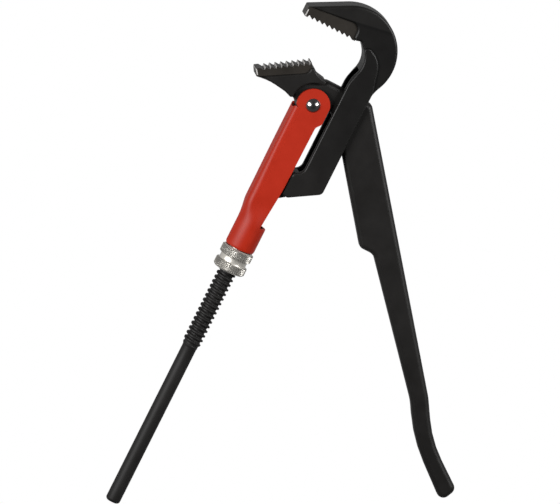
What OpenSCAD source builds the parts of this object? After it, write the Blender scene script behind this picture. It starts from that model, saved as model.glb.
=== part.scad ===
// Lever pipe wrench: a hook jaw on a screwed stem, and a lower jaw that swings in a sleeve set by a nut.
// The tool lies flat: X runs across it, Y along the stem toward the jaws, Z up out of its flat.
// The origin is on the stem's axis, where the rounded free end meets the plain wall.

/* [Stem] */
// Diameter of the plain handle rod
rod_d = 10.8; // [9:0.1:12]
// Length of the plain handle rod
rod_len = 123.6; // [90:0.1:170]
// Rounding of the rod's free end
rod_end_r = 2.4; // [1:0.1:4]
// Outside diameter of the screw
screw_d = 13.8; // [12.6:0.1:15]
// Length of the screw, up to the foot of the hook jaw
screw_len = 125; // [115:1:150]
// Length of the taper from the rod up to the screw
screw_runout = 5; // [2:0.5:8]

/* [Hook jaw] */
// Distance from the stem's axis to the near side of the bar
bar_gap = 15.6; // [15:0.1:20]
// Width of the bar
bar_w = 19.4; // [17:0.1:26]
// Thickness of the bar over both cheeks
bar_t = 21; // [19:0.1:26]
// Corner radius of the bar's outline
bar_corner_r = 3; // [2:0.1:4]
// Thickness of the hook
hook_t = 18; // [16:0.1:19]
// Corner radius of the hook's tip
hook_corner_r = 1.8; // [0.8:0.1:2.4]
// Reach of the hook past the stem's axis
hook_reach = 34.9; // [34:0.1:42]
// Height of the hook's tip above its teeth
hook_tip_h = 7.6; // [6:0.1:11]
// Radius of the hook's back
back_r = 34.2; // [32:0.1:38]
// How far the hook's back stands out past the bar
back_bulge = 6.2; // [4:0.1:9]
// Height from the centre of the back's arc to the teeth
back_drop = 8.8; // [6:0.1:12]
// Radius of the throat between hook and bar
throat_r = 17.1; // [15:0.1:20]
// How far the throat cuts into the bar's near side
throat_cut = 3.5; // [2:0.1:5]
// Height from the centre of the throat's arc to the teeth
throat_drop = 14.3; // [12:0.1:17]
// Reach of the hook's teeth from the stem's axis toward the throat
hook_heel = 5.4; // [4:0.1:6]
// Slope of the hook's teeth toward the throat, in degrees
jaw_lead = 1.8; // [0:0.1:4]
// Slope of the foot's lower edge, in degrees
foot_rake = 30; // [20:1:38]
// Height of the tongue inside the sleeve
tongue_h = 23.6; // [18:0.1:28]

/* [Jaw lever] */
// Height of the rivet's axis above the foot, as set in the photograph
pin_rise = 73; // [68:0.1:80]
// Angle of the lower teeth from square to the stem, as opened in the photograph
jaw_open = 31.3; // [20:0.1:34]
// Height of the lower teeth above the rivet's axis
crest_h = 31.2; // [30:0.1:34]
// Clear height between the jaws when they stand parallel
mouth = 23.6; // [22:0.1:40]
// Thickness of the neck and the handle
lever_t = 12; // [9:0.1:12.4]
// Thickness of the lower jaw
jaw_t = 18; // [16:0.1:19]
// Corner radius of the lower jaw's outline
jaw_corner_r = 1.6; // [0.8:0.1:1.6]
// Reach of the lower jaw past the rivet's axis
jaw_reach = 39; // [34:0.1:46]
// Height of the lower jaw's tip
jaw_tip_h = 5.8; // [5:0.1:8]
// Reach of the lower teeth from the rivet's axis toward the throat
jaw_heel = 2.6; // [1:0.1:4]
// Radius of the milled ring round the ears
milled_r = 16; // [15:0.1:17]
// Height of the neck above the rivet's axis
neck_h = 20; // [18:0.1:21]
// Distance from the rivet's axis to the handle's near edge, as drawn up to the axis
handle_gap = 14.2; // [14:0.1:17]
// Width of the handle's upper part
handle_w = 27.85; // [24:0.05:30]
// Length of the handle's upper part, from the rivet's axis
handle_step_y = 107; // [95:1:120]
// Width of the grip at its upper end
grip_top_w = 19.2; // [16:0.1:22]
// Width of the grip where it bends
grip_w = 13.2; // [11:0.1:16]
// Distance from the rivet's axis to the grip's bend
grip_bend_y = 226; // [200:1:250]
// Length of the outward bent end
grip_end_len = 76; // [60:1:95]
// Lean of the handle away from the jaw's square, in degrees
handle_lean = 6; // [4:0.1:8]
// Lean of the bent end, in degrees
grip_end_lean = 14.5; // [9:0.5:16]

/* [Teeth] */
// Distance from tooth to tooth
tooth_pitch = 4.07; // [3:0.01:5]
// Depth of the teeth
tooth_depth = 1.9; // [1.2:0.1:2.4]
// Thickness of both jaws where their sides are ground
ground_t = 14.6; // [12:0.1:15.8]
// Height of the ground band at the jaws' tips
ground_h = 6.6; // [5:0.1:8]

/* [Sleeve] */
// Thickness of the sheet
sheet_t = 2; // [1.5:0.1:2.4]
// Distance from the stem's axis to the inside of the channel's web
web_gap = 10.1; // [9.4:0.1:11]
// Outside radius of the channel's bends
bend_r = 4.6; // [3:0.1:6]
// Radius of the ears round the rivet
ear_r = 12.2; // [11:0.1:13]
// Distance from the rivet's axis down to the tube's rim
sleeve_len = 117.6; // [112:0.1:124]
// Length of the tube
tube_len = 20.4; // [18:0.1:24]
// Length of the blend from tube to channel
blend_len = 17; // [12:0.5:19]
// Reach of the channel's free edges past the stem's axis, at the foot
edge_reach = 8; // [7:0.1:8.4]

/* [Nut] */
// Diameter of the knurled bands
nut_d = 24.2; // [22:0.1:28]
// Height of the lower band
low_band_h = 6.6; // [5:0.1:9]
// Height of the groove between the bands
groove_h = 4.3; // [3:0.1:6]
// Depth of the groove between the bands
groove_depth = 1.7; // [0.8:0.1:2.2]
// Height of the upper band
top_band_h = 6.6; // [5:0.1:9]
// Bevel of the bands' edges
band_bevel = 0.9; // [0.4:0.1:1.4]
// Wall of the spigot that turns in the sleeve's rim
spigot_wall = 1.1; // [0.9:0.1:1.5]
// How far the spigot's flange stands out
flange_step = 0.8; // [0.6:0.1:1.2]
// Height of the spigot's flange
flange_h = 2; // [1.5:0.1:3]

/* [Rivets and spring] */
// Diameter of the pivot rivet's shank
pin_d = 8; // [7:0.1:9.4]
// Diameter of the pivot rivet's heads
pin_head_d = 10.4; // [10.2:0.1:14]
// Height of the pivot rivet's heads
pin_head_h = 2.6; // [1.8:0.1:3.4]
// Thickness of the leaf spring
spring_t = 0.8; // [0.6:0.1:1.1]
// Length of the spring's flat foot
spring_foot = 14; // [11:0.5:18]
// Diameter of the spring rivet's shank
spring_pin_d = 3.6; // [3:0.1:4.4]

/* [Clearances] */
// Side clearance of the lever and the tongue
side_clear = 0.3; // [0.2:0.05:0.5]
// Clearance of the screw in the channel, each side
screw_clear = 0.4; // [0.3:0.05:0.6]
// Radial clearance of the screw in the nut
thread_clear = 0.05; // [0.02:0.01:0.09]
// Radial clearance of the rivet in its holes
pin_clear = 0.05; // [0.02:0.01:0.09]
// Clearance of the nut's spigot in the sleeve
spigot_clear = 0.25; // [0.2:0.05:0.4]
// Greatest travel of the sleeve toward the jaws
travel_up = 17; // [10:0.5:17]
// Gap between the sleeve's free edges and the foot
foot_clear = 1.4; // [1.2:0.1:2]
// Play of the nut along the stem
nut_play = 0.4; // [0.3:0.05:0.6]

/* [Hidden] */
$fn = 64;
arc_step = 8;
eps = 0.01;

// Places along the stem
foot_y = rod_len + screw_len;
pin_y = foot_y + pin_rise;
jaw_y = pin_y + crest_h + mouth;
rim_y = pin_y - sleeve_len;
tube_top_y = rim_y + tube_len;
channel_y = tube_top_y + blend_len;
slit_y = foot_y + tongue_h;

// Fits across the sleeve
channel_w = screw_d + 2 * screw_clear;
boss_t = channel_w - 2 * side_clear;
sleeve_w = channel_w + 2 * sheet_t;
slot_w = lever_t + 2 * side_clear;
boss_r = ear_r - 0.2;
web_x = -web_gap - sheet_t;
web_top_y = pin_y - sqrt(pow(boss_r + 2, 2) - pow(web_gap, 2));
relief_h = 0.6;
lap = 0.5;
bend_flat = web_gap + sheet_t - bend_r - 2;
spring_w = channel_w - 2 * (bend_r - sheet_t) - 2 * side_clear;

// Fits round the nut
bore_r = screw_d / 2 + thread_clear;
spigot_r = bore_r + spigot_wall;
flange_r = spigot_r + flange_step;
tube_in_r = flange_r + spigot_clear;
tube_r = tube_in_r + sheet_t;
lip_h = 1.6;
nut_top_y = rim_y - nut_play;

// Hook arcs
bar_x = bar_gap + bar_w;
throat = [bar_gap + throat_cut - throat_r, jaw_y - throat_drop];
neck_r = 22;
neck = [bar_gap + neck_r + 0.25, throat[1] - sqrt(pow(throat_r + neck_r, 2)
    - pow(bar_gap + neck_r + 0.25 - throat[0], 2))];
back = [bar_x + back_bulge - back_r, jaw_y - back_drop];
nape_r = 27;
nape = [bar_x + nape_r, back[1] - sqrt(pow(back_r + nape_r, 2) - pow(bar_x + nape_r - back[0], 2))];
nape_turn = atan2(back[1] - nape[1], nape[0] - back[0]);
shoulder_r = 18.3;
shoulder = [bar_x - 3.1 - shoulder_r, throat[1] - 3.5];
slot_top_y = pin_y + neck_h + travel_up;

// Geometry of flat outlines
function unit(v) = v / norm(v);
function flat(p) = [p[0], p[1]];
function polar(c, r, a) = c + r * [cos(a), sin(a)];
function arc(c, r, a, b) =
    let (n = max(2, ceil(abs(b - a) / arc_step)))
    [for (i = [0:n]) polar(c, r, a + (b - a) * i / n)];

// One corner [x, y, r] between its neighbours, as an arc of radius r
function corner(p, q, s) =
    let (
        a = unit(flat(p) - flat(q)),
        b = unit(flat(s) - flat(q)),
        half = acos(a * b) / 2,
        c = flat(q) + unit(a + b) * q[2] / sin(half),
        from = flat(q) + a * q[2] / tan(half) - c,
        to = flat(q) + b * q[2] / tan(half) - c,
        start = atan2(from[1], from[0]),
        turn = atan2(from[0] * to[1] - from[1] * to[0], from * to)
    )
    arc(c, q[2], start, start + turn);

// Outline through points, where a point with a third value is a rounded corner
function rounded(points) =
    let (n = len(points))
    [for (i = [0:n - 1])
        each (len(points[i]) == 3
            ? corner(points[(i + n - 1) % n], points[i], points[(i + 1) % n])
            : [points[i]])];

// A flat plate of thickness t over an outline, centred on the tool's flat
module plate(points, t) {
    translate([0, 0, -t / 2]) linear_extrude(t, convexity = 8) polygon(points);
}

// A cut on both sides that leaves a web of thickness t
module both_sides(points, t, depth) {
    for (side = [0, 1])
        mirror([0, 0, side]) translate([0, 0, t / 2]) linear_extrude(depth) polygon(points);
}

// Saw notches along X from x0, cut upward from y = 0; each has a steep flank on its left
module tooth_row(x0, count, t) {
    notches = [for (i = [0:count - 1])
        let (x = x0 + i * tooth_pitch)
        each [
            [x + 0.18, -0.3],
            [x + 0.7, tooth_depth],
            [x + 1.5, tooth_depth],
            [x + tooth_pitch + 0.1, -0.3]
        ]];
    last = x0 + count * tooth_pitch;
    plate(concat([[last + 1, -2], [x0, -2]], notches), t);
}

// Outline of the hook, from the tip's lower corner along the teeth, round the throat and back over the top
function hook_outline() =
    let (
        slope = tan(jaw_lead),
        tip_y = jaw_y + hook_reach * slope,
        tip = [-hook_reach, tip_y + hook_tip_h],
        away = tip - back,
        back_end = atan2(away[1], away[0]) - acos(back_r / norm(away))
    )
    concat(
        rounded([
            polar(back, back_r, back_end),
            [tip[0], tip[1], hook_corner_r],
            [-hook_reach, tip_y, hook_corner_r],
            [hook_heel, jaw_y - hook_heel * slope, 4],
            concat(polar(throat, throat_r + 1, 61), [hook_corner_r + 0.6]),
            polar(throat, throat_r, 46)
        ]),
        arc(throat, throat_r, 40, -12),
        [
            [bar_gap + 6.4, neck[1] - 2],
            [bar_gap + 6.4, neck[1] - 14],
            [bar_x - 5, neck[1] - 14],
            [bar_x - 4, nape[1] - 3]
        ],
        arc(nape, nape_r, 166, 180 - nape_turn + 2),
        arc(back, back_r, -nape_turn + 3, back_end - 4)
    );

// Outline of the bar with its foot, up to the rounded end of its cheeks below the hook
function bar_outline() =
    let (
        slit_r = bar_gap - edge_reach - foot_clear + 0.1,
        foot_x = edge_reach + foot_clear,
        end_r = bar_corner_r + 0.2,
        end = polar(shoulder, shoulder_r - end_r, 62),
        side = end - throat,
        side_a = atan2(side[1], side[0])
    )
    rounded(concat(
        [[bar_gap, neck[1] + 0.5, neck_r]],
        arc([bar_gap - slit_r, slit_y + slit_r], slit_r, 0, -60),
        [
            [foot_x, slit_y - 0.14 * slit_r, bar_corner_r],
            [foot_x, foot_y + foot_x * tan(foot_rake) - 3, bar_corner_r],
            [bar_x, foot_y + bar_x * tan(foot_rake) - 3, bar_corner_r + 1],
            [bar_x, shoulder[1] - 10, 20]
        ],
        arc(shoulder, shoulder_r, 14, 60),
        arc(end, end_r, 68, 176 + side_a),
        arc(throat, norm(side) - end_r, side_a - 3, -10)
    ));

// Outline of the tongue, square to the stem
function tongue_outline() =
    let (joint_x = edge_reach + 4, left = -screw_d / 2 + 0.5)
    rounded([
        [left, foot_y, 1],
        [joint_x - 6, foot_y],
        [joint_x, foot_y + joint_x * tan(foot_rake) - 1],
        [joint_x, slit_y - 0.6],
        [left + 4, slit_y - 0.6, 3],
        [left, slit_y - 6, 3]
    ]);

// Forged hook jaw with a slot through its bar for the lever
module hook_jaw() {
    top_x = edge_reach + 5;
    count = floor((hook_reach + hook_heel - 3) / tooth_pitch);
    slot = [
        [top_x + 3.8, foot_y - 3],
        [bar_x + 9, foot_y - 3],
        [bar_x + 9, slot_top_y],
        [bar_gap - 4, slot_top_y],
        [bar_gap - 4, slit_y + 9],
        [top_x, slit_y + 2.4]
    ];
    ground = rounded([
        [-hook_reach - 3, -4],
        [4.6, -4],
        [4.6, ground_h + 5.3, 5.5],
        [-hook_reach - 3, ground_h + 0.6]
    ]);
    color("#2b2a29") difference() {
        union() {
            plate(hook_outline(), hook_t);
            plate(bar_outline(), bar_t);
            plate(tongue_outline(), boss_t);
        }
        plate(slot, slot_w);
        translate([0, jaw_y, 0]) rotate([0, 0, -jaw_lead]) {
            both_sides(ground, ground_t, hook_t);
            tooth_row(hook_heel - count * tooth_pitch, count, hook_t + 2);
        }
    }
}

// Round stem: plain handle, taper, and the screw up to the foot
module screw_stem() {
    profile = concat(
        [[0, -rod_end_r]],
        arc([rod_d / 2 - rod_end_r, 0], rod_end_r, -90, 0),
        [
            [rod_d / 2, rod_len],
            [screw_d / 2, rod_len + screw_runout],
            [screw_d / 2, foot_y],
            [0, foot_y]
        ]
    );
    color("#2b2a29") rotate([-90, 0, 0]) mirror([0, 1, 0]) rotate_extrude() polygon(profile);
}

// Outline of the lower jaw above the milled ring, in the lever's own frame with its teeth along X
function jaw_outline() =
    rounded(concat(
        [
            [-jaw_reach, crest_h - jaw_tip_h, jaw_corner_r],
            [-30.2, crest_h - 9.6, 40],
            [-19.2, crest_h - 19, 14],
            concat(polar([0, 0], milled_r, 157), [jaw_corner_r])
        ],
        arc([0, 0], milled_r, 145, 54),
        [
            concat(polar([0, 0], milled_r, 42), [jaw_corner_r]),
            concat(polar([0, 0], milled_r + 3.8, 42), [jaw_corner_r]),
            [jaw_heel + 1.8, crest_h - 11.8, 9],
            [jaw_heel, crest_h, jaw_corner_r],
            [-jaw_reach, crest_h, jaw_corner_r]
        ]
    ));

// Outline of boss, neck and handle in the lever's own frame
function handle_outline() =
    let (
        core_r = boss_r - 0.6,
        lean = tan(handle_lean),
        step = [handle_gap + handle_step_y * lean, -handle_step_y],
        right_x = handle_gap + handle_w / cos(handle_lean),
        bend_x = right_x + grip_bend_y * lean,
        end_y = -grip_bend_y - grip_end_len,
        out = grip_end_len * tan(grip_end_lean),
        grip_x = right_x + (handle_step_y + 16) * lean - grip_top_w
    )
    rounded(concat(
        arc([0, 0], core_r, 165, 316),
        [
            [boss_r + 0.4, -boss_r / 2, 2],
            [handle_gap + 40 * lean, -40, 30],
            [step[0], step[1] - 2, 4],
            [grip_x - 1.2, step[1] - 8, 8],
            [bend_x - grip_w, -grip_bend_y, 45],
            [bend_x - grip_w, -grip_bend_y - 29, 120],
            [bend_x - grip_w + out - 3.4, end_y + 1.6, 4.6],
            [bend_x + out - 5, end_y + 9, 4.6],
            [bend_x, -grip_bend_y - 31, 90],
            [bend_x, -grip_bend_y + 1, 40],
            [right_x + 0.6, -5.6, 5.4],
            [16, neck_h - 7.93, 8],
            [5, neck_h - 4.5, 5],
            [-9, neck_h - 2, 5],
            [-17, neck_h - 9.6, 5]
        ]
    ));

// Forged lever: lower jaw, boss round the rivet, neck and handle
module jaw_lever() {
    ground = rounded([
        [-jaw_reach - 4, 4],
        [-jaw_reach - 4, -ground_h + 2],
        [-8, -ground_h - 1, 30],
        [-1.4, -ground_h - 0.4, 4],
        [1.6, 4]
    ]);
    color("#2b2a29") translate([0, pin_y, 0]) rotate([0, 0, jaw_open]) difference() {
        union() {
            plate(jaw_outline(), jaw_t);
            plate(handle_outline(), lever_t);
            cylinder(h = boss_t, r = boss_r, center = true);
        }
        cylinder(h = boss_t + 2, d = pin_d + 2 * pin_clear, center = true);
        translate([0, crest_h, 0]) {
            both_sides(ground, ground_t, jaw_t);
            mirror([0, 1, 0]) tooth_row(2.6 - jaw_reach, floor((jaw_reach + jaw_heel - 4.8) / tooth_pitch), jaw_t + 2);
        }
    }
}

// Section of the channel, filled, as wide as the sleeve less a margin all round
module channel_section(margin, reach) {
    r = bend_r - margin;
    left = web_x + margin;
    half = sleeve_w / 2 - margin;
    polygon(rounded([
        [reach, half],
        [left, half, r],
        [left, -half, r],
        [reach, -half]
    ]));
}

// A section drawn in X and Z, moved along the stem from y and h long
module along_stem(y, h) {
    translate([0, y, 0]) rotate([-90, 0, 0]) linear_extrude(h) children();
}

// Side outline of the channel with its ears, as cut from the sheet
function channel_side() =
    let (
        shoulder_y = pin_y - ear_r,
        relief_y = web_top_y + relief_h / 2,
        ear_end = 180 + asin((pin_y - relief_y) / ear_r)
    )
    rounded(concat(
        [
            [web_x - 1, tube_top_y - 1],
            [edge_reach - 2.8, tube_top_y - 1],
            [edge_reach - 2.4, tube_top_y + 3],
            [edge_reach, foot_y + 8, 30],
            [edge_reach + 0.9, shoulder_y - 1.4, 2],
            [ear_r - 0.3, shoulder_y + 2, 3]
        ],
        arc([0, pin_y], ear_r, 12, ear_end),
        [[web_x - 1, relief_y]]
    ));

// Rolled tube of the sleeve, with its rim swaged in below the nut's flange
module sleeve_tube() {
    lip_r = spigot_r + spigot_clear;
    swage_y = rim_y + lip_h + flange_h + 0.6;
    profile = [
        [lip_r, rim_y],
        [lip_r + 1.5, rim_y],
        [tube_r, swage_y],
        [tube_r, tube_top_y],
        [tube_in_r, tube_top_y],
        [tube_in_r, rim_y + lip_h],
        [lip_r, rim_y + lip_h - 0.5]
    ];
    rotate([-90, 0, 0]) mirror([0, 1, 0]) rotate_extrude() polygon(profile);
}

// Pressed blend from the round tube to the channel: its outer or inner body, a skin inside the sheet
module blend(inner) {
    skin = 0.15;
    over = inner ? eps : 0;
    hull() {
        along_stem(tube_top_y - lap - over, eps)
            circle(r = inner ? tube_in_r + skin : tube_r - skin, $fn = 48);
        along_stem(channel_y - eps + 2 * over, eps)
            channel_section(inner ? sheet_t + skin : skin, edge_reach + 4);
    }
}

// Web and bends of the channel, up to the ears
module channel_web() {
    difference() {
        along_stem(channel_y - lap, web_top_y - channel_y + lap) channel_section(0, -bend_flat);
        along_stem(channel_y - lap - 1, web_top_y - channel_y + lap + 2)
            channel_section(sheet_t, 1 - bend_flat);
    }
}

// Flat sides of the channel, which end above in the ears
module channel_walls() {
    top = pin_y + ear_r + 1;
    far = 2 * ear_r;
    reach = [
        [-bend_flat - lap, channel_y - lap],
        [far, channel_y - lap],
        [far, top],
        [-far, top],
        [-far, web_top_y + relief_h],
        [-bend_flat - lap, web_top_y + relief_h]
    ];
    difference() {
        plate(reach, sleeve_w);
        plate([[-far - 1, 0], [far + 1, 0], [far + 1, top + 1], [-far - 1, top + 1]], channel_w);
    }
}

// Sheet sleeve: channel with two ears round the lever's boss, blended into a tube round the stem
module sleeve() {
    color("#b82d1c") difference() {
        union() {
            sleeve_tube();
            intersection() {
                union() {
                    difference() {
                        blend(false);
                        blend(true);
                    }
                    channel_web();
                    channel_walls();
                }
                plate(channel_side(), sleeve_w + 2);
            }
        }
        translate([0, pin_y, 0]) cylinder(h = sleeve_w + 2, d = pin_d + 2 * pin_clear, center = true);
        translate([web_x - 1, spring_y(), 0]) rotate([0, 90, 0])
            cylinder(h = sheet_t + 2, d = spring_pin_d + 2 * pin_clear);
    }
}

// Knurled nut: two bands with a groove, and a spigot whose flange the sleeve's rim holds
module adjusting_nut() {
    r = nut_d / 2;
    low_y = nut_top_y - top_band_h - groove_h - low_band_h;
    groove_y = low_y + low_band_h;
    band_y = groove_y + groove_h;
    flange_y = rim_y + lip_h + nut_play;
    b = band_bevel;
    profile = [
        [bore_r, low_y],
        [r - 1.8 * b, low_y],
        [r, low_y + 1.4 * b],
        [r, groove_y - b / 2],
        [r - b / 2, groove_y],
        [r - groove_depth, groove_y],
        [r - groove_depth, band_y],
        [r - b / 2, band_y],
        [r, band_y + b / 2],
        [r, nut_top_y - b],
        [r - b, nut_top_y],
        [spigot_r, nut_top_y],
        [spigot_r, flange_y],
        [flange_r, flange_y],
        [flange_r, flange_y + flange_h],
        [bore_r, flange_y + flange_h]
    ];
    color("#c9c4b8") rotate([-90, 0, 0]) mirror([0, 1, 0]) rotate_extrude() polygon(profile);
}

// Domed rivet through both ears and the boss
module pivot_rivet() {
    head_r = pin_head_d / 2;
    dome_r = (head_r * head_r + pin_head_h * pin_head_h) / (2 * pin_head_h);
    half = sleeve_w / 2;
    dome = [for (p = arc([0, half + pin_head_h - dome_r], dome_r, 90 - asin(head_r / dome_r), 90)) p];
    shape = concat([[0, 0], [pin_d / 2, 0], [pin_d / 2, half], [head_r, half]], dome);
    color("#d8d8d8") translate([0, pin_y, 0]) for (side = [0, 1])
        mirror([0, 0, side]) rotate_extrude() polygon(shape);
}

// Middle of the spring's flat foot
function spring_y() = web_top_y - 2 * spring_foot;

// Leaf spring: flat foot on the web, then a bowed tongue that drags on the boss
module leaf_spring() {
    foot_top = spring_y() + spring_foot / 2;
    tip = polar([0, pin_y], boss_r + 0.5, 238);
    back_line = [
        [-web_gap, foot_top - spring_foot],
        [-web_gap, foot_top, 12],
        [tip[0] - spring_t - 1.4, tip[1] - 8, 14],
        [tip[0] - spring_t, tip[1]]
    ];
    front_line = [for (i = [len(back_line) - 1:-1:0])
        let (p = back_line[i])
        len(p) == 3 ? [p[0] + spring_t, p[1] - spring_t / 4, p[2]] : p + [spring_t, 0]];
    color("#8d8f92") difference() {
        plate(rounded(concat(front_line, back_line)), spring_w);
        translate([-web_gap - 1, spring_y(), 0]) rotate([0, 90, 0])
            cylinder(h = spring_t + 2, d = spring_pin_d + 2 * pin_clear);
    }
}

// Spring rivet: flush in the web's outer face, with a low head on the spring
module spring_rivet() {
    head_h = 0.9;
    color("#8d8f92") translate([web_x, spring_y(), 0]) rotate([0, 90, 0]) {
        cylinder(h = sheet_t + spring_t + eps, d = spring_pin_d);
        translate([0, 0, sheet_t + spring_t]) cylinder(h = head_h, d = 1.7 * spring_pin_d);
    }
}

hook_jaw();
screw_stem();
jaw_lever();
sleeve();
adjusting_nut();
pivot_rivet();
leaf_spring();
spring_rivet();
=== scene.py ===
"""Looks of the lever pipe wrench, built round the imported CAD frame.

The pieces are in millimetres in the part's own frame, X across, Y along the stem and Z up, and new_object
makes them metres. Materials, camera and lamps are in metres.
"""

import math

import bmesh
import bpy
import numpy as np
from mathutils import Matrix, Vector


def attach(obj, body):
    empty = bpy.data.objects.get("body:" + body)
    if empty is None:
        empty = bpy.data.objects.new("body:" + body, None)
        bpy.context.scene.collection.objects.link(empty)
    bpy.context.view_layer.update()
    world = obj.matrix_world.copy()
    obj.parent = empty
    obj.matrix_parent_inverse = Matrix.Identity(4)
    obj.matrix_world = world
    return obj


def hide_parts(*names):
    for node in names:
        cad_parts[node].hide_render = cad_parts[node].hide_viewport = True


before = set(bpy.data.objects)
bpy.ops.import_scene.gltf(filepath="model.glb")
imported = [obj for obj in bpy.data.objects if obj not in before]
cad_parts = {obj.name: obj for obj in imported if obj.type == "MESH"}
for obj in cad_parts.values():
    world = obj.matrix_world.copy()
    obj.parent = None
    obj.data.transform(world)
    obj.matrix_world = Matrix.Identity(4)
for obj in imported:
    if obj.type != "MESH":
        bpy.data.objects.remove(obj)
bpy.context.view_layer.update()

MM = 0.001

# Places along the stem
RIM_Y = 204.0
TUBE_TOP_Y = 224.4
CHANNEL_Y = 241.4
FOOT_Y = 248.6
SLIT_Y = 272.2
SPRING_RIVET_Y = 283.9
WEB_TOP_Y = 311.9
PIN_Y = 321.6
SLOT_TOP_Y = 358.6
JAW_Y = 376.4

# Hook
HOOK_HALF = 9.0
HOOK_EDGE_R = 1.8
HOOK_REACH = 34.9
HOOK_TIP_H = 7.6
JAW_LEAD = math.radians(1.8)
SLOT_HALF = 6.3
THROAT = (2.0, 362.1)
THROAT_R = 17.1
BACK = (7.0, 367.6)
BACK_R = 34.2
NECK = (37.85, 346.49)
NECK_R = 22.0
NAPE = (62.0, 340.76)
NAPE_R = 27.0

# Bar with its foot
BAR_GAP = 15.6
BAR_X = 35.0
BAR_HALF = 10.5
BAR_EDGE_R = 1.3
SLIT_R = 6.3
FOOT_X = 9.0
FOOT_SLOPE = math.tan(math.radians(30))

# Lever, in its own frame with the rivet at the origin and the teeth along X
JAW_OPEN = math.radians(31.3)
CREST_H = 31.2
JAW_REACH = 39.0
JAW_EDGE_R = 1.25
MILLED_R = 16.0
BOSS_R = 12.0
BOSS_HALF = 7.0
LEVER_HALF = 6.0
LEVER_EDGE_R = 3.6
HANDLE_X = 14.2
HANDLE_W = 27.85
HANDLE_LEAN = math.radians(6)
GRIP_BEND_Y = -226
GRIP_W = 13.2
GRIP_LEN = 76
GRIP_TURN = math.radians(14.5)

# Teeth, and the ground bands that carry them
TOOTH_COUNT = 9
TOOTH_PITCH = 4.07
TOOTH_DEPTH = 1.9
TOOTH_LAND = 0.1
TOOTH_ROOT = (0.85, 1.15)
HOOK_TEETH_X = -32.6
LOWER_TEETH_X = -1.0
GROUND_HALF = 7.3
# Half thickness of the light strips at the jaw tips, which are painted highlights
TIP_HIGHLIGHT_HALF = GROUND_HALF + 0.05

# Sleeve
SHEET = 2.0
SIDE_HALF = 9.3
WEB_X = -12.1
BEND_R = 4.6
BEND_TOP_R = 2.9
BEND_TOP_Y = WEB_TOP_Y - 20
EAR_R = 12.2
EAR_X = 11.9
FLARE_Y = 306.0
LIFT_Y = 300.0
SIDE_LIFT = 4.0
BEND_LIFT = 4.4
CORNER_LIFT = 3.0
WEB_LIFT = 1.8
SIDE_POINTS = 7
BEND_POINTS = 10
WEB_POINTS = 4
TUBE_R = 11.1
TUBE_BORE_R = 9.1
LIP_R = 8.3

# Nut
NUT_R = 12.1
NUT_BORE_R = 6.95
NUT_TOP_Y = RIM_Y - 0.4
BAND_H = 6.6
GROOVE_H = 4.3
GROOVE_R = NUT_R - 1.9
SPIGOT_R = 8.05
SPIGOT_LIP_R = 8.85
KNURL_COUNT = 46
KNURL_DEPTH = 0.55

# Stem
ROD_R = 5.4
ROD_LEN = 123.6
ROD_END_R = 2.4
SCREW_R = 6.9
ROOT_R = 5.35
PITCH = 3.75
CONE_LEN = 5.0
RUN_OUT = 7.0

# Rivet through the ears
DOME_H = 2.6
DOME_R = 6.5
COLLAR_R = 5.2
SHANK_R = 4.0


def polar(c, r, a):
    """Point at radius r and angle a in degrees round c."""
    return (c[0] + r * math.cos(math.radians(a)), c[1] + r * math.sin(math.radians(a)))


def arc(c, r, a, b, step=4.0):
    """Points of a circle of radius r round c, from angle a to angle b in degrees."""
    n = max(2, math.ceil(abs(b - a) / step))
    t = np.radians(np.linspace(a, b, n + 1))
    return [tuple(p) for p in np.stack([c[0] + r * np.cos(t), c[1] + r * np.sin(t)], 1)]


def corner(p, q, s):
    """Arc of radius q[2] that rounds the corner q between its neighbours p and s."""
    p, q2, s = np.array(p[:2]), np.array(q[:2]), np.array(s[:2])
    a = (p - q2) / np.linalg.norm(p - q2)
    b = (s - q2) / np.linalg.norm(s - q2)
    half = math.acos(max(-1.0, min(1.0, float(a @ b)))) / 2
    c = q2 + (a + b) / np.linalg.norm(a + b) * q[2] / math.sin(half)
    start = q2 + a * q[2] / math.tan(half) - c
    end = q2 + b * q[2] / math.tan(half) - c
    turn = math.degrees(math.atan2(start[0] * end[1] - start[1] * end[0], float(start @ end)))
    first = math.degrees(math.atan2(start[1], start[0]))
    return arc(c, q[2], first, first + turn, step=7.0)


def rounded(points):
    """Outline through points; a point with a third value is a corner rounded to that radius."""
    n = len(points)
    out = []
    for i, q in enumerate(points):
        out += corner(points[i - 1], q, points[(i + 1) % n]) if len(q) == 3 else [tuple(q)]
    return np.array(out)


def inset(points, d):
    """A counter-clockwise outline moved inward by d, each corner along the mean of its edges' normals."""
    a = points - np.roll(points, 1, 0)
    a = a / np.linalg.norm(a, axis=1, keepdims=True)
    b = np.roll(a, -1, 0)
    side = np.stack([-a[:, 1] - b[:, 1], a[:, 0] + b[:, 0]], 1)
    return points + d * side / (1 + (a * b).sum(1, keepdims=True))


def new_object(name, verts, faces, body, material, smooth=35.0):
    """A mesh object at the origin from vertices in millimetres, shaded smooth below an angle in degrees."""
    mesh = bpy.data.meshes.new(name)
    mesh.from_pydata((np.asarray(verts, float) * MM).tolist(), [], faces)
    mesh.polygons.foreach_set("use_smooth", [True] * len(mesh.polygons))
    mesh.set_sharp_from_angle(angle=math.radians(smooth))
    mesh.materials.append(material)
    mesh.validate()
    mesh.update()
    obj = bpy.data.objects.new(name, mesh)
    bpy.context.scene.collection.objects.link(obj)
    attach(obj, body)
    return obj


def weld(obj):
    """Joins points that fall together, such as those of a pole, and turns the faces outward."""
    bm = bmesh.new()
    bm.from_mesh(obj.data)
    bmesh.ops.remove_doubles(bm, verts=bm.verts, dist=1e-7)
    bmesh.ops.recalc_face_normals(bm, faces=bm.faces)
    bm.to_mesh(obj.data)
    bm.free()


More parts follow.
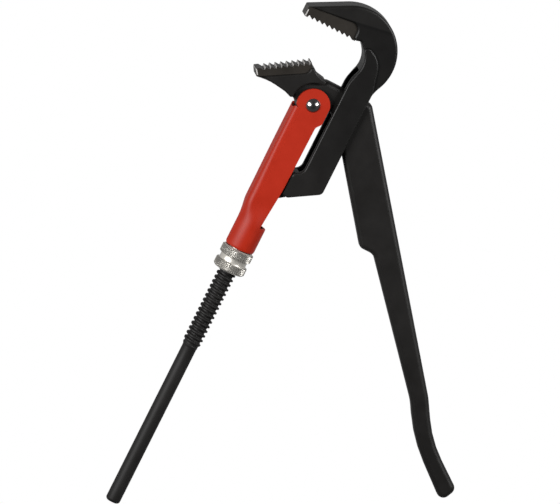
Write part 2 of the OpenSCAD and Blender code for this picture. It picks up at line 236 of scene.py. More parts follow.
def ring_faces(rows, cols):
    """Quads between rows of cols points, where each row is a closed ring."""
    i = np.arange(rows - 1)[:, None]
    j = np.arange(cols)[None, :]
    j2 = (j + 1) % cols
    quads = np.stack([i * cols + j, i * cols + j2, (i + 1) * cols + j2, (i + 1) * cols + j], -1)
    return quads.reshape(-1, 4).tolist()


def edge_levels(low, high, low_r, high_r, steps):
    """Rows of (inset, height) for a plate. An edge with a radius is a quarter round with a narrow flat
    beside it, and an edge without one is square."""
    t = np.radians(np.linspace(0, 90, steps + 1))
    flat = 0.3
    rows = []
    if low_r:
        rows += [(low_r + flat, low)]
        rows += [(low_r * (1 - math.sin(a)), low + low_r * (1 - math.cos(a))) for a in t]
    else:
        rows += [(0.0, low)]
    if high_r:
        rows += [(high_r * (1 - math.sin(a)), high - high_r * (1 - math.cos(a))) for a in t[::-1]]
        rows += [(high_r + flat, high)]
    else:
        rows += [(0.0, high)]
    return rows


def loft(name, outline, low, high, low_r, high_r, body, material, steps=5, place=None):
    """A plate: u runs round the outline and v up its side, and the inset at each v follows the quarter round
    at each edge. place moves the points from another frame."""
    outline = np.asarray(outline, float)
    levels = edge_levels(low, high, low_r, high_r, steps)
    n = len(outline)
    rings = [np.c_[inset(outline, d), np.full(n, z)] for d, z in levels]
    verts = np.concatenate(rings)
    if place is not None:
        verts = place(verts)
    faces = ring_faces(len(levels), n)
    faces.append(list(range(n - 1, -1, -1)))
    faces.append(list(range((len(levels) - 1) * n, len(levels) * n)))
    return new_object(name, verts, faces, body, material)


def revolve(name, profile, body, material, axis="Y", centre=(0, 0, 0), seg=96, shift=None, smooth=35.0):
    """Surface of revolution: u is the angle and v runs along the profile of (radius, height), and shift adds
    to the radius at each (u, v). The profile closes on itself, or ends on the axis."""
    profile = np.asarray(profile, float)
    t = np.linspace(0, 2 * math.pi, seg, endpoint=False)
    r = np.repeat(profile[:, :1], seg, 1)
    h = np.repeat(profile[:, 1:], seg, 1)
    if shift is not None:
        r = r + shift(t[None, :], h, r)
    a = r * np.cos(t)
    b = r * np.sin(t)
    places = {"X": (h, a, b), "Y": (a, h, -b), "Z": (a, b, h)}
    verts = np.stack(places[axis], -1).reshape(-1, 3) + np.array(centre)
    faces = [f[::-1] for f in ring_faces(len(profile), seg)]
    if abs(profile[0, 0]) > 1e-6 and np.allclose(profile[0], profile[-1]):
        verts = verts[:-seg]
        faces = (np.array(faces) % len(verts)).tolist()
    obj = new_object(name, verts, faces, body, material, smooth)
    weld(obj)
    return obj


def stands_for(pieces, node):
    """Hides the CAD node that the pieces are shown for."""
    for piece in pieces:
        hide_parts(node)


def ease(t):
    """Smooth step from 0 to 1."""
    t = np.clip(t, 0, 1)
    return t * t * (3 - 2 * t)


def shader(name):
    """A node material with one Principled shader: the material, its nodes, its links and the shader."""
    mat = bpy.data.materials.new(name)
    mat.use_nodes = True
    tree = mat.node_tree
    return mat, tree.nodes, tree.links, tree.nodes["Principled BSDF"]


def noise(nodes, links, coord, scale, detail=3.0, rough=0.55):
    """A noise texture on the given coordinates."""
    n = nodes.new("ShaderNodeTexNoise")
    n.inputs["Scale"].default_value = scale
    n.inputs["Detail"].default_value = detail
    n.inputs["Roughness"].default_value = rough
    links.new(coord, n.inputs["Vector"])
    return n.outputs["Fac"]


def ramp(nodes, links, fac, stops):
    """A colour ramp over fac through (position, colour) stops."""
    r = nodes.new("ShaderNodeValToRGB")
    e = r.color_ramp.elements
    while len(e) < len(stops):
        e.new(0.5)
    for k, (pos, col) in enumerate(stops):
        e[k].position = pos
        e[k].color = (*col, 1.0)
    links.new(fac, r.inputs["Fac"])
    return r.outputs["Color"]


def grey(v):
    """An even grey."""
    return (v, v, v)


def spread(nodes, links, fac, low, high):
    """fac from 0..1 mapped to low..high."""
    m = nodes.new("ShaderNodeMapRange")
    m.inputs["To Min"].default_value = low
    m.inputs["To Max"].default_value = high
    links.new(fac, m.inputs["Value"])
    return m.outputs["Result"]


def bump(nodes, links, height, strength, distance, shader_node):
    """A bump of the shader's normal by height."""
    b = nodes.new("ShaderNodeBump")
    b.inputs["Strength"].default_value = strength
    b.inputs["Distance"].default_value = distance
    links.new(height, b.inputs["Height"])
    links.new(b.outputs["Normal"], shader_node.inputs["Normal"])


def coated(name, dark, light, rough, grain, specular=0.5, metallic=0.0):
    """Paint or metal: two close tones by noise, uneven roughness and a fine grain."""
    mat, nodes, links, bsdf = shader(name)
    coord = nodes.new("ShaderNodeTexCoord").outputs["Object"]
    broad = noise(nodes, links, coord, 60.0)
    fine = noise(nodes, links, coord, 900.0, detail=2.0)
    links.new(ramp(nodes, links, broad, [(0.3, dark), (0.7, light)]), bsdf.inputs["Base Color"])
    links.new(spread(nodes, links, broad, rough - 0.05, rough + 0.05), bsdf.inputs["Roughness"])
    bsdf.inputs["Specular IOR Level"].default_value = specular
    bsdf.inputs["Metallic"].default_value = metallic
    bump(nodes, links, fine, grain, 0.0002, bsdf)
    return mat


def shaded(mat, measure, low, high, stops):
    """Multiplies a material's colour by a ramp over measure(coordinates), from low to high in metres."""
    tree = mat.node_tree
    nodes, links = tree.nodes, tree.links
    bsdf = nodes["Principled BSDF"]
    coord = nodes.new("ShaderNodeTexCoord").outputs["Object"]
    span = nodes.new("ShaderNodeMapRange")
    span.inputs["From Min"].default_value = low
    span.inputs["From Max"].default_value = high
    links.new(measure(nodes, links, coord), span.inputs["Value"])
    tone = ramp(nodes, links, span.outputs["Result"], [(t, grey(v)) for t, v in stops])
    times = nodes.new("ShaderNodeMix")
    times.data_type = "RGBA"
    times.blend_type = "MULTIPLY"
    times.inputs["Factor"].default_value = 1.0
    links.new(bsdf.inputs["Base Color"].links[0].from_socket, times.inputs["A"])
    links.new(tone, times.inputs["B"])
    links.new(times.outputs["Result"], bsdf.inputs["Base Color"])


def from_axis(nodes, links, coord):
    """Distance from the stem's axis."""
    flat = nodes.new("ShaderNodeVectorMath")
    flat.operation = "MULTIPLY"
    flat.inputs[1].default_value = (1, 0, 1)
    links.new(coord, flat.inputs[0])
    size = nodes.new("ShaderNodeVectorMath")
    size.operation = "LENGTH"
    links.new(flat.outputs["Vector"], size.inputs[0])
    return size.outputs["Value"]


def up_the_hook(nodes, links, coord):
    """Distance along the normal of the crease across the hook's face."""
    dot = nodes.new("ShaderNodeVectorMath")
    dot.operation = "DOT_PRODUCT"
    dot.inputs[1].default_value = (-0.1357, 0.9907, 0)
    links.new(coord, dot.inputs[0])
    return dot.outputs["Value"]


# Finishes
black = coated("forged_black", (0.0053, 0.0049, 0.0046), (0.0075, 0.0070, 0.0066), 0.44, 0.05, specular=0.17)
ground_black = coated("ground_black", (0.0088, 0.0073, 0.0058), (0.0140, 0.0117, 0.0094), 0.45, 0.15,
                      specular=0.22)
stem_black = coated("stem_black", (0.0056, 0.0052, 0.0050), (0.0080, 0.0075, 0.0072), 0.55, 0.05,
                    specular=0.16)
red = coated("red_paint", (0.218, 0.0090, 0.0014), (0.248, 0.0110, 0.0022), 0.50, 0.02, specular=0.18)
plated = coated("plated_metal", (0.42, 0.40, 0.365), (0.50, 0.48, 0.44), 0.34, 0.06, metallic=0.7)
bright = coated("bright_rivet", (0.27, 0.262, 0.255), (0.32, 0.312, 0.305), 0.18, 0.02, metallic=1.0)
# Lighter steel that paints highlights on the jaw tips' edges and on the lower teeth's steep flanks
painted_highlight_steel = coated("painted_highlight_steel", (0.30, 0.29, 0.28), (0.36, 0.35, 0.34), 0.45, 0.05, metallic=0.2)
spring_grey = coated("spring_grey", (0.30, 0.30, 0.31), (0.38, 0.38, 0.39), 0.35, 0.05, metallic=1.0)

# Painted shade on the nut: its colour darker down in the knurl's hollows and on the bands' chamfers
shaded(plated, from_axis, 0.0100, 0.0121, [(0.0, 1.0), (0.6, 1.0), (0.74, 0.3), (0.88, 0.55), (0.97, 1.0)])
# The hook's black with painted shade: darker up the bar, and a dark painted line along the crease across the
# hook's face
hook_black_painted_shade = black.copy()
hook_black_painted_shade.name = "hook_black_painted_shade"
shaded(hook_black_painted_shade, up_the_hook, 0.2562, 0.3862,
       [(0.0, 1.05), (0.35, 0.62), (0.8, 0.42), (0.975, 0.42), (0.99, 0.2), (0.994, 0.2), (1.0, 0.8)])


def tooth_line(x0):
    """Points (x, depth) of a saw edge from x0 along X: for each tooth a steep flank down, a small root and a
    slack flank up."""
    line = []
    for i in range(TOOTH_COUNT):
        x = x0 + i * TOOTH_PITCH
        line += [(x + TOOTH_LAND, 0.0)]
        line += [(x + root, TOOTH_DEPTH) for root in TOOTH_ROOT]
        line += [(x + TOOTH_PITCH - TOOTH_LAND, 0.0)]
    return line


def jaw_slope(points):
    """Points over the hook's tooth line, turned by the jaw's lead and moved up to the jaw."""
    out = []
    for p in points:
        x = p[0] * math.cos(JAW_LEAD) + p[1] * math.sin(JAW_LEAD)
        y = p[1] * math.cos(JAW_LEAD) - p[0] * math.sin(JAW_LEAD) + JAW_Y
        out.append((x, y, *p[2:]))
    return out


# Hook: two skins that run down beside the slot, a core above it, the ground band with the teeth, and a light
# strip at the tip that is a painted highlight
tip_top = (-HOOK_REACH, JAW_Y + HOOK_REACH * math.tan(JAW_LEAD) + HOOK_TIP_H)
away = np.array(tip_top) - np.array(BACK)
back_end = math.degrees(math.atan2(away[1], away[0]) - math.acos(BACK_R / np.linalg.norm(away)))
neck_turn = math.degrees(math.atan2(THROAT[1] - NECK[1], NECK[0] - THROAT[0]))
nape_turn = math.degrees(math.atan2(BACK[1] - NAPE[1], NAPE[0] - BACK[0]))
slot_in = math.degrees(math.asin((SLOT_TOP_Y - THROAT[1]) / THROAT_R))
slot_out = math.degrees(math.asin((SLOT_TOP_Y - BACK[1]) / BACK_R))
hook_front = [polar(BACK, BACK_R, back_end), (tip_top[0] + 0.2, tip_top[1] - 0.1)]
hook_front += jaw_slope([(4.6, 11.9, 5.5), (4.6, -0.1, 2.4)])
hook_front += [(*polar(THROAT, THROAT_R + 1, 61), 2.4)]
skin = rounded(
    hook_front + arc(THROAT, THROAT_R, 46, -neck_turn) + arc(NECK, NECK_R, 182 - neck_turn, 184)
    + [(BAR_GAP + 3, 334, 3), (BAR_X - 3, 330, 3)] + arc(NAPE, NAPE_R, 178, 182 - nape_turn)
    + arc(BACK, BACK_R, 2 - nape_turn, back_end - 3))
core = rounded(
    hook_front + arc(THROAT, THROAT_R, 46, slot_in) + arc(BACK, BACK_R, slot_out, back_end - 3))
hook_band = rounded(
    jaw_slope([(-HOOK_REACH, 0.0, 0.5)] + tooth_line(HOOK_TEETH_X)
              + [(6.4, 0.1, 0.6), (6.4, 4.0), (5.6, 9.5), (1.0, 12.6), (-12.0, 12.6)])
    + [(tip_top[0], tip_top[1] - 0.25, 0.6)])
# Thin light strip at the front edge of the hook's tip: a painted highlight of its rounded edge
hook_tip_highlight = jaw_slope([(-34.75, 0.5), (-33.85, 0.3), (-33.95, 5.4), (-34.75, 5.4)])
hook_pieces = [
    loft("hook_skin_front", skin, SLOT_HALF, HOOK_HALF, 0, HOOK_EDGE_R, "hook", hook_black_painted_shade),
    loft("hook_skin_back", skin, -HOOK_HALF, -SLOT_HALF, HOOK_EDGE_R, 0, "hook", hook_black_painted_shade),
    loft("hook_core", core, -SLOT_HALF, SLOT_HALF, 0, 0, "hook", hook_black_painted_shade),
    loft("hook_ground", hook_band, -GROUND_HALF, GROUND_HALF, 0, 0, "hook", ground_black),
    loft("hook_tip_painted_highlight", hook_tip_highlight, -TIP_HIGHLIGHT_HALF, TIP_HIGHLIGHT_HALF, 0, 0, "hook", painted_highlight_steel),
]


def foot_edge(x, rise):
    """Point of the foot's sloping lower edge at x, moved by rise along Y."""
    return (x, FOOT_Y + x * FOOT_SLOPE + rise)


# Bar: two cheeks beside the slot, with the foot that joins them to the tongue
cheek = rounded(
    [(BAR_GAP, NECK[1] + 0.5, NECK_R)]
    + arc((BAR_GAP - SLIT_R, SLIT_Y + SLIT_R), SLIT_R, 0, -60)
    + [(FOOT_X, SLIT_Y - 0.9, 3.4), (*foot_edge(FOOT_X, -3), 3.4), (*foot_edge(BAR_X, -3), 4.4),
       (BAR_X, 348.5, 20)]
    + arc((13.6, SLOT_TOP_Y), 18.3, 14, 70) + arc((18.2, 372.9), 3.4, 80, 160)
    + arc(THROAT, THROAT_R, 38, 2 - neck_turn))
bridge = rounded(
    [(FOOT_X + 0.2, foot_edge(FOOT_X, -2.6)[1], 2.0), foot_edge(16.4, -2.8), (13.2, SLIT_Y + 1.0),
     (FOOT_X + 3.2, SLIT_Y + 0.6), (FOOT_X + 0.2, SLIT_Y - 0.7, 2.0)])
tongue = rounded(
    [(-6.4, FOOT_Y, 1), (6.0, FOOT_Y), (12.0, FOOT_Y + 4.0), (12.0, SLIT_Y - 0.6), (-2.4, SLIT_Y - 0.6, 3),
     (-6.4, SLIT_Y - 6, 3)])
foot_side = [(9.02, 254.2), (14.5, 257.0), (14.5, 270.6), (9.02, 268.6)]
hook_pieces += [
    loft("bar_cheek_front", cheek, SLOT_HALF, BAR_HALF, 0, BAR_EDGE_R, "hook", hook_black_painted_shade),
    loft("bar_cheek_back", cheek, -BAR_HALF, -SLOT_HALF, BAR_EDGE_R, 0, "hook", hook_black_painted_shade),
    loft("foot_flat", foot_side, 0.02 - BAR_HALF, BAR_HALF - 0.02, 0, 0, "hook", black),
    loft("foot_bridge", bridge, -SLOT_HALF, SLOT_HALF, 0, 0, "hook", black),
    loft("tongue", tongue, -BOSS_HALF, BOSS_HALF, 0, 0, "hook", black),
]
stands_for(hook_pieces, "hook_jaw")


def swung(verts):
    """Points of the lever's own frame, turned by the open angle and moved to the rivet."""
    x = verts[:, 0] * math.cos(JAW_OPEN) - verts[:, 1] * math.sin(JAW_OPEN)
    y = verts[:, 0] * math.sin(JAW_OPEN) + verts[:, 1] * math.cos(JAW_OPEN) + PIN_Y
    return np.stack([x, y, verts[:, 2]], 1)


def leant(x, y):
    """Point at height y on a line that starts at x and leans outward with the handle."""
    return (x - y * math.tan(HANDLE_LEAN), y)


# Lever: jaw with its milled ring, ground band with the teeth, handle with the neck, a light strip at the tip
# that is a painted highlight, boss
PIVOT = (0, 0)
jaw = rounded(
    [(-38.7, CREST_H - 5.8), (-30.2, CREST_H - 9.6, 40), (-19.2, CREST_H - 19, 14),
     (*polar(PIVOT, MILLED_R, 157), 1.75)]
    + arc(PIVOT, MILLED_R, 145, 64)
    + [(*polar(PIVOT, MILLED_R, 53), 1.6), (*polar(PIVOT, MILLED_R + 3.5, 55), 1.6),
       (5.0, CREST_H - 9.6, 9), (2.7, CREST_H - 2.0, 1.75), (-1.6, CREST_H - 7.4, 5)])
lower_band = rounded(
    [(-JAW_REACH, CREST_H - 5.6, 0.8), (-30.0, CREST_H - 8.6), (-8.0, 20.0), (1.4, 22.0),
     (1.9, CREST_H, 0.6)]
    + [(-x, CREST_H - d) for x, d in tooth_line(LOWER_TEETH_X)] + [(-JAW_REACH, CREST_H, 0.9)])
# Thin light strip at the front edge of the lower jaw's tip: a painted highlight of its rounded edge
lower_tip_highlight = [(-38.4, 26.4), (-37.5, 26.3), (-38.0, 30.9), (-38.8, 30.9)]
right_x = HANDLE_X + HANDLE_W / math.cos(HANDLE_LEAN)
bend_x = leant(right_x, GRIP_BEND_Y)[0]
grip_x = bend_x - GRIP_W
kick = GRIP_LEN * math.tan(GRIP_TURN)
step_x = leant(right_x, -123)[0] - 20.4
handle = rounded(
    arc(PIVOT, BOSS_R - 0.6, 165, 316)
    + [(12.4, -6.0, 2), (*leant(HANDLE_X, -40), 30), (leant(HANDLE_X, -107)[0], -109, 5.0),
       (step_x, -115, 8), (grip_x, GRIP_BEND_Y, 45), (grip_x, GRIP_BEND_Y - 29, 120),
       (grip_x + kick - 4.0, -303.2, 5.2), (bend_x + kick - 5.2, -295.2, 5.2),
       (bend_x, GRIP_BEND_Y - 31, 90), (bend_x, GRIP_BEND_Y + 1, 40),
       (right_x + 0.6, -5.6, 4.6), (26, 6.6, 12), (12, 15.9, 6), (4, 15.5, 5), (-9, 18, 5), (-17, 10.4, 5)])
boss = [(0, -BOSS_HALF), (BOSS_R, -BOSS_HALF), (BOSS_R, BOSS_HALF), (0, BOSS_HALF)]
lower_jaw = loft("lower_jaw", jaw, -HOOK_HALF, HOOK_HALF, JAW_EDGE_R, JAW_EDGE_R, "lever", black,
                 place=swung)
lower_ground = loft("lower_ground", lower_band, -GROUND_HALF, GROUND_HALF, 0, 0, "lever", ground_black,
                    place=swung)
lever_pieces = [
    lower_jaw,
    lower_ground,
    loft("lever_handle", handle, -LEVER_HALF, LEVER_HALF, LEVER_EDGE_R, LEVER_EDGE_R, "lever", black,
         steps=8, place=swung),
    loft("lower_tip_painted_highlight", lower_tip_highlight, -TIP_HIGHLIGHT_HALF, TIP_HIGHLIGHT_HALF, 0, 0, "lever", painted_highlight_steel, place=swung),
    revolve("lever_boss", boss, "lever", black, axis="Z", centre=(0, PIN_Y, 0)),
]
stands_for(lever_pieces, "jaw_lever")

# Painted highlight on the steep flanks of the lower teeth: the faces whose normals lie along the flanks' own
# take the lighter steel
flank_normal = np.array([-0.987, -0.167, 0.0])
flanks = lower_ground.data
flanks.materials.append(painted_highlight_steel)
normals = np.empty(len(flanks.polygons) * 3, np.float32)
flanks.polygons.foreach_get("normal", normals)
lit_flanks = normals.reshape(-1, 3) @ flank_normal > 0.97
flanks.polygons.foreach_set("material_index", lit_flanks.astype(np.int32))


def sleeve_reach(y):
    """X of the sheet's free edges at height y, through the points of the cut edge."""
    ys = [TUBE_TOP_Y, TUBE_TOP_Y + 3, 256.6, 306.8, 308.2, 309.6, 310.8, WEB_TOP_Y]
    xs = [5.2, 5.6, 8.0, 8.7, 9.2, 10.4, 11.4, EAR_X]
    return float(np.interp(y, ys, xs))


def sheet_section(y, gap):
    """Half path of the sheet at height y, gap inside its outer face: along the side, round the bend, to the
    web's middle. The tube turns into the channel by a smooth step in y, and the bend gets sharper upward."""
    reach = sleeve_reach(y)
    sharper = float(ease((y - CHANNEL_Y) / (BEND_TOP_Y - CHANNEL_Y)))
    half = SIDE_HALF - gap
    left = WEB_X + gap
    r = BEND_R + (BEND_TOP_R - BEND_R) * sharper - gap
    side = np.stack([np.linspace(reach, left + r, SIDE_POINTS), np.full(SIDE_POINTS, half)], 1)
    t = np.radians(np.linspace(90, 180, BEND_POINTS + 1)[1:])
    bend = np.stack([left + r + r * np.cos(t), half - r + r * np.sin(t)], 1)
    web = np.stack([np.full(WEB_POINTS, left), np.linspace(half - r, 0, WEB_POINTS + 1)[1:]], 1)
    channel = np.concatenate([side, bend, web])
    round_r = TUBE_R - gap
    first = math.acos(min(1.0, reach / round_r))
    length = np.r_[0, np.cumsum(np.linalg.norm(np.diff(channel, axis=0), axis=1))]
    a = first + (math.pi - first) * length / length[-1]
    tube = np.stack([round_r * np.cos(a), round_r * np.sin(a)], 1)
    w = float(ease((y - TUBE_TOP_Y) / (CHANNEL_Y - TUBE_TOP_Y)))
    return (1 - w) * tube + w * channel


def top_lift():
    """How far the sheet's top edge rises over its free corner, at each point round the section: up along the
    side, a little more in the bend, and down again to the web's middle."""
    bend_points = BEND_POINTS // 2 + 1
    half = np.r_[np.linspace(0, SIDE_LIFT, SIDE_POINTS),
                 np.linspace(SIDE_LIFT, BEND_LIFT, bend_points)[1:],
                 np.linspace(BEND_LIFT, CORNER_LIFT, bend_points)[1:],
                 np.linspace(CORNER_LIFT, WEB_LIFT, WEB_POINTS + 1)[1:]]
    outside = np.concatenate([half, half[-2::-1]])
    return np.concatenate([outside, outside[::-1]])


def sleeve_sheet():
    """Channel and blend: u runs round the sheet's section, outside and back inside, and v along the stem."""
    lift = top_lift()
    ys = np.r_[TUBE_TOP_Y - 0.4, np.linspace(TUBE_TOP_Y, CHANNEL_Y, 25),
               np.linspace(CHANNEL_Y, FLARE_Y, 12)[1:], np.linspace(FLARE_Y, WEB_TOP_Y, 13)[1:]]
    rows = []
    for y in ys:
        outer = sheet_section(y, 0.0)
        inner = sheet_section(y, SHEET)
        full_outer = np.concatenate([outer, (outer * [1, -1])[-2::-1]])
        full_inner = np.concatenate([inner, (inner * [1, -1])[-2::-1]])[::-1]
        loop = np.concatenate([full_outer, full_inner])
        rise = lift * ease((y - LIFT_Y) / (WEB_TOP_Y - LIFT_Y))
        rows.append(np.c_[loop[:, 0], y + rise, loop[:, 1]])
    m = len(rows[0])
    faces = [f[::-1] for f in ring_faces(len(ys), m)]
    for base, flip in ((0, False), ((len(ys) - 1) * m, True)):
        for i in range(m // 2 - 1):
            quad = [base + i, base + i + 1, base + m - 2 - i, base + m - 1 - i]
            faces.append(quad[::-1] if flip else quad)
    obj = new_object("sleeve_channel", np.concatenate(rows), faces, "sleeve_body", red, smooth=50.0)
    weld(obj)
    return obj


# Sleeve: channel, tube with its rolled rim, and two ears
tube = [(LIP_R, RIM_Y), (LIP_R + 1.2, RIM_Y), (LIP_R + 2.2, RIM_Y + 0.4), (TUBE_R - 0.15, RIM_Y + 1.3),
        (TUBE_R, RIM_Y + 2.2), (TUBE_R, TUBE_TOP_Y - 0.3), (TUBE_R - 0.3, TUBE_TOP_Y),
        (TUBE_BORE_R + 0.3, TUBE_TOP_Y), (TUBE_BORE_R, TUBE_TOP_Y - 0.3), (TUBE_BORE_R, RIM_Y + 1.6),
        (LIP_R, RIM_Y + 1.1), (LIP_R, RIM_Y)]
ear = [(EAR_X, WEB_TOP_Y)] + arc((0, PIN_Y), EAR_R, 12, 200)
ear += [(WEB_X + BEND_TOP_R, WEB_TOP_Y + SIDE_LIFT)]
sleeve_pieces = [
    sleeve_sheet(),
    revolve("sleeve_tube", tube, "sleeve_body", red),
    loft("ear_front", ear, SIDE_HALF - SHEET, SIDE_HALF, 0, 0, "sleeve_body", red),
    loft("ear_back", ear, -SIDE_HALF, SHEET - SIDE_HALF, 0, 0, "sleeve_body", red),
]
stands_for(sleeve_pieces, "sleeve")


def knurl(t, h, r):
    """Diamond knurl: the deeper of two zigzags that cross over angle and height, cut into the bands."""
    a = t * KNURL_COUNT / (2 * math.pi)
    b = h * KNURL_COUNT / (2 * math.pi * NUT_R)
    one = np.abs(((a + b) % 1.0) * 2 - 1)
    two = np.abs(((a - b) % 1.0) * 2 - 1)
    return np.where(r > NUT_R - 0.05, -KNURL_DEPTH * np.maximum(one, two), 0.0)


# Nut: two knurled bands with a groove between, and the spigot that is held in the sleeve's rim
low_y = NUT_TOP_Y - BAND_H - GROOVE_H - BAND_H
groove_y = low_y + BAND_H
band_y = groove_y + GROOVE_H
nut = [(NUT_BORE_R, low_y), (NUT_R - 1.6, low_y), (NUT_R - 0.5, low_y + 0.9)]
nut += [(NUT_R, y) for y in np.linspace(low_y + 1.2, groove_y - 0.4, 44)]
nut += [(NUT_R - 0.6, groove_y - 0.05), (NUT_R - 1.7, groove_y + 0.1), (GROOVE_R, groove_y + 0.6),
        (GROOVE_R, band_y - 0.6), (NUT_R - 1.7, band_y - 0.1), (NUT_R - 0.6, band_y + 0.05)]
nut += [(NUT_R, y) for y in np.linspace(band_y + 0.4, NUT_TOP_Y - 1.0, 44)]
nut += [(NUT_R - 0.5, NUT_TOP_Y - 0.7), (NUT_R - 1.4, NUT_TOP_Y), (SPIGOT_R, NUT_TOP_Y),
        (SPIGOT_R, RIM_Y + 2), (SPIGOT_LIP_R, RIM_Y + 2), (SPIGOT_LIP_R, RIM_Y + 4),
        (NUT_BORE_R, RIM_Y + 4), (NUT_BORE_R, low_y)]
knurled = revolve("knurled_nut", nut, "nut", plated, seg=KNURL_COUNT * 8, shift=knurl, smooth=28.0)
stands_for([knurled], "adjusting_nut")


def thread(t, h, r):
    """Left-hand screw: a rounded trapezoid over the phase of height plus angle, fading out at the rod."""
    phase = (h / PITCH + t / (2 * math.pi) + 0.5) % 1.0
    wave = ease(1.5 - 4.2 * np.abs(phase - 0.5))
    fade = np.clip((h - ROD_LEN) / RUN_OUT, 0, 1)
    return np.where(r > ROD_R + 0.02, -(SCREW_R - ROOT_R) * (1 - wave) * fade, 0.0)


# Stem: plain rod with a rounded end, then the rolled screw, which starts with a short cone
stem_top = FOOT_Y - 0.05
rod = [(0, -ROD_END_R)]
rod += [polar((ROD_R - ROD_END_R, 0), ROD_END_R, a) for a in (-90, -70, -50, -30, -12, 0)]
rod += [(ROD_R, y) for y in np.linspace(6, ROD_LEN, 12)]
screw = [(min(SCREW_R, ROD_R + 0.03 + (SCREW_R - ROD_R) * (y - ROD_LEN) / CONE_LEN), y)
         for y in np.linspace(ROD_LEN + 0.2, stem_top, 560)]
stem = revolve("stem", rod + screw + [(0, stem_top)], "hook", stem_black, seg=64, shift=thread, smooth=50.0)
stands_for([stem], "screw_stem")

# Rivet: a dome on each ear, on a small collar
dome = [(0, SIDE_HALF + DOME_H)]
dome += [polar((0, SIDE_HALF + DOME_H - DOME_R), DOME_R, a) for a in np.linspace(84, 38, 16)]
dome += [(COLLAR_R, SIDE_HALF), (SHANK_R, SIDE_HALF), (SHANK_R, 0)]
dome += [(r, -h) for r, h in dome[::-1][1:]]
rivet = revolve("domed_rivet", dome, "sleeve_body", bright, axis="Z", centre=(0, PIN_Y, 0), seg=64)
stands_for([rivet], "pivot_rivet")

# Spring inside the sleeve, and its rivet, flush and painted over outside
flush = [(0, -12.05), (1.8, -12.05), (1.8, -9.3), (3.0, -9.3), (3.0, -8.8), (2.4, -8.4), (0, -8.4)]
flush_rivet = revolve("flush_rivet", flush, "sleeve_body", red, axis="X", centre=(0, SPRING_RIVET_Y, 0),
                      seg=32)
stands_for([flush_rivet], "spring_rivet")
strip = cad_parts["leaf_spring"]
strip.data.materials.clear()
strip.data.materials.append(spring_grey)

# Floor: white to the camera, partly so in mirror images, and a plain grey surface to every other ray
floor_in_metal = 0.35
floor_half = 4.0
floor_z = -0.0125
floor_mat, nodes, links, bsdf = shader("floor_white")
coord = nodes.new("ShaderNodeTexCoord").outputs["Object"]
floor_tone = ramp(nodes, links, noise(nodes, links, coord, 3.0), [(0.0, grey(0.16)), (1.0, grey(0.18))])
links.new(floor_tone, bsdf.inputs["Base Color"])
bsdf.inputs["Roughness"].default_value = 0.9
bsdf.inputs["Specular IOR Level"].default_value = 0.0
white = nodes.new("ShaderNodeEmission")
white.inputs["Color"].default_value = (1, 1, 1, 1)
white.inputs["Strength"].default_value = 1.0
ray = nodes.new("ShaderNodeLightPath")
mirrored = nodes.new("ShaderNodeMath")
mirrored.operation = "MAXIMUM"
links.new(ray.outputs["Is Glossy Ray"], mirrored.inputs[0])
links.new(ray.outputs["Is Transmission Ray"], mirrored.inputs[1])
seen = nodes.new("ShaderNodeMath")
seen.operation = "MULTIPLY_ADD"
seen.use_clamp = True
seen.inputs[1].default_value = floor_in_metal
links.new(mirrored.outputs["Value"], seen.inputs[0])
links.new(ray.outputs["Is Camera Ray"], seen.inputs[2])
mix = nodes.new("ShaderNodeMixShader")
links.new(seen.outputs["Value"], mix.inputs["Fac"])
links.new(bsdf.outputs["BSDF"], mix.inputs[1])
links.new(white.outputs["Emission"], mix.inputs[2])
links.new(mix.outputs["Shader"], nodes["Material Output"].inputs["Surface"])
floor_mesh = bpy.data.meshes.new("floor")
floor_corners = [(x * floor_half, y * floor_half, floor_z) for x, y in ((-1, -1), (1, -1), (1, 1), (-1, 1))]
floor_mesh.from_pydata(floor_corners, [], [(0, 1, 2, 3)])
floor_mesh.materials.append(floor_mat)
floor = bpy.data.objects.new("floor", floor_mesh)
bpy.context.scene.collection.objects.link(floor)

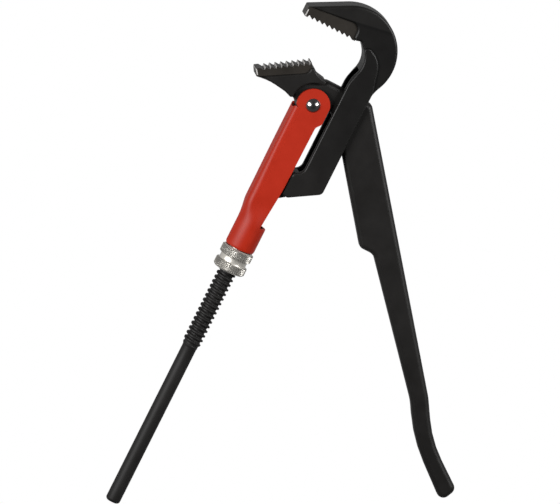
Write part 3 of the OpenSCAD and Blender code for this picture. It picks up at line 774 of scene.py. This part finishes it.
# Camera over the tool, as the photograph has it: a long lens, a little to the left of square
distance = 10.0
picture_width = 0.4020
roll = math.radians(26.671)
target = Vector((0.028225, 0.213824, -0.0003))
toward = Vector((-0.20, 0.15, 0.96825)).normalized()
across = Vector((0, 1, 0)).cross(toward).normalized()
along = toward.cross(across)
right = math.cos(roll) * across + math.sin(roll) * along
up = math.cos(roll) * along - math.sin(roll) * across
cam_data = bpy.data.cameras.new("camera")
cam_data.sensor_width = 36.0
cam_data.lens = cam_data.sensor_width * distance / picture_width
cam_data.clip_end = 30.0
cam = bpy.data.objects.new("camera", cam_data)
turn = Matrix((right, up, toward)).transposed().to_4x4()
cam.matrix_world = Matrix.Translation(target + distance * toward) @ turn
bpy.context.scene.collection.objects.link(cam)
bpy.context.scene.camera = cam


def softbox(name, direction, far, size, power):
    """An area light in a direction from the tool, facing it, of size (width, height)."""
    data = bpy.data.lights.new(name, "AREA")
    data.shape = "RECTANGLE"
    data.size, data.size_y = size
    data.energy = power
    lamp = bpy.data.objects.new(name, data)
    spot = target + far * direction.normalized()
    facing = (spot - target).to_track_quat("Z", "Y").to_matrix().to_4x4()
    lamp.matrix_world = Matrix.Translation(spot) @ facing
    bpy.context.scene.collection.objects.link(lamp)


# Two softboxes, left and right of the camera, each tilted away from it by an angle in radians
left_tilt = 0.72
right_tilt = 1.0
leftward = -0.98 * right + 0.2 * up
rightward = 0.98 * right + 0.15 * up
softbox("left_box", math.cos(left_tilt) * toward + math.sin(left_tilt) * leftward, 1.2, (0.5, 0.7), 26.0)
softbox("right_box", math.cos(right_tilt) * toward + math.sin(right_tilt) * rightward, 1.3, (0.4, 0.6), 22.0)

# World: dim grey, dimmer overhead
world = bpy.data.worlds.new("world")
bpy.context.scene.world = world
world.use_nodes = True
sky = world.node_tree
ray_way = sky.nodes.new("ShaderNodeTexCoord").outputs["Generated"]
split = sky.nodes.new("ShaderNodeSeparateXYZ")
sky.links.new(ray_way, split.inputs["Vector"])
sky_tone = ramp(sky.nodes, sky.links, split.outputs["Z"],
                [(0.0, grey(0.12)), (0.45, grey(0.12)), (0.85, grey(0.05))])
sky.links.new(sky_tone, sky.nodes["Background"].inputs["Color"])
bpy.context.scene.view_settings.view_transform = "Standard"
